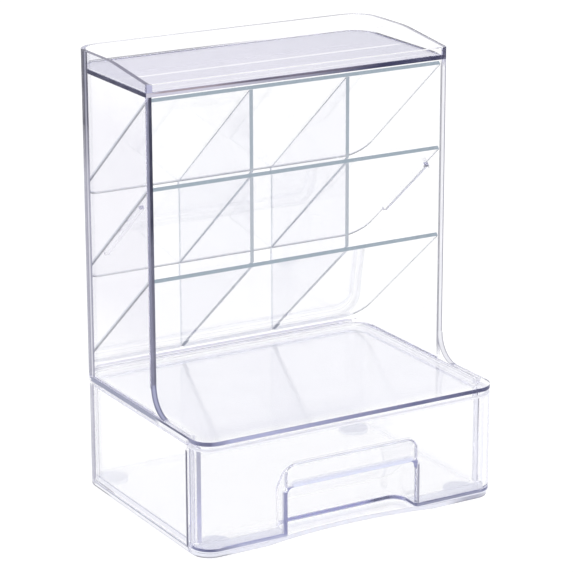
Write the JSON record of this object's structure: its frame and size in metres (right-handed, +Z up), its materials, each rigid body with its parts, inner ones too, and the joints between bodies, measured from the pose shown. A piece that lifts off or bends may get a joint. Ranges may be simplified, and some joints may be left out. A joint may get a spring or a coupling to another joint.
{
  "type": "drawer organizer",
  "caption": "Clear desk organizer: a rack of slanted pen pockets under a shallow top tray, with an open deck and a pull-out drawer in the base.",
  "frame": {"origin": "middle of the rectangle round the whole object, at the bottom of the feet", "axes": "+X to the right seen from the front, -Y out of the front, +Z up"},
  "size_m": [0.17, 0.13, 0.23],
  "materials": {
    "rack_plastic": "clear, polished",
    "base_plastic": "clear, polished",
    "drawer_plastic": "clear, polished, faint lavender",
    "sheet_plastic": "clear, polished, faint grey-green",
    "foot_pad": "soft, translucent grey, satin"
  },
  "bodies": {
    "case": {"rack_shell": "rack_plastic", "base_housing": "base_plastic", "top_shelf": "sheet_plastic", "middle_shelf": "sheet_plastic", "lower_shelf": "sheet_plastic", "left_divider": "sheet_plastic", "right_divider": "sheet_plastic", "front_left_foot": "foot_pad", "front_right_foot": "foot_pad", "rear_left_foot": "foot_pad", "rear_right_foot": "foot_pad"},
    "drawer": {"drawer": "drawer_plastic"}
  },
  "joints": [
    {"name": "drawer_slide", "type": "slide", "parent": "case", "child": "drawer", "axis": [0, -1, 0], "range_m": [0, 0.09]}
  ]
}
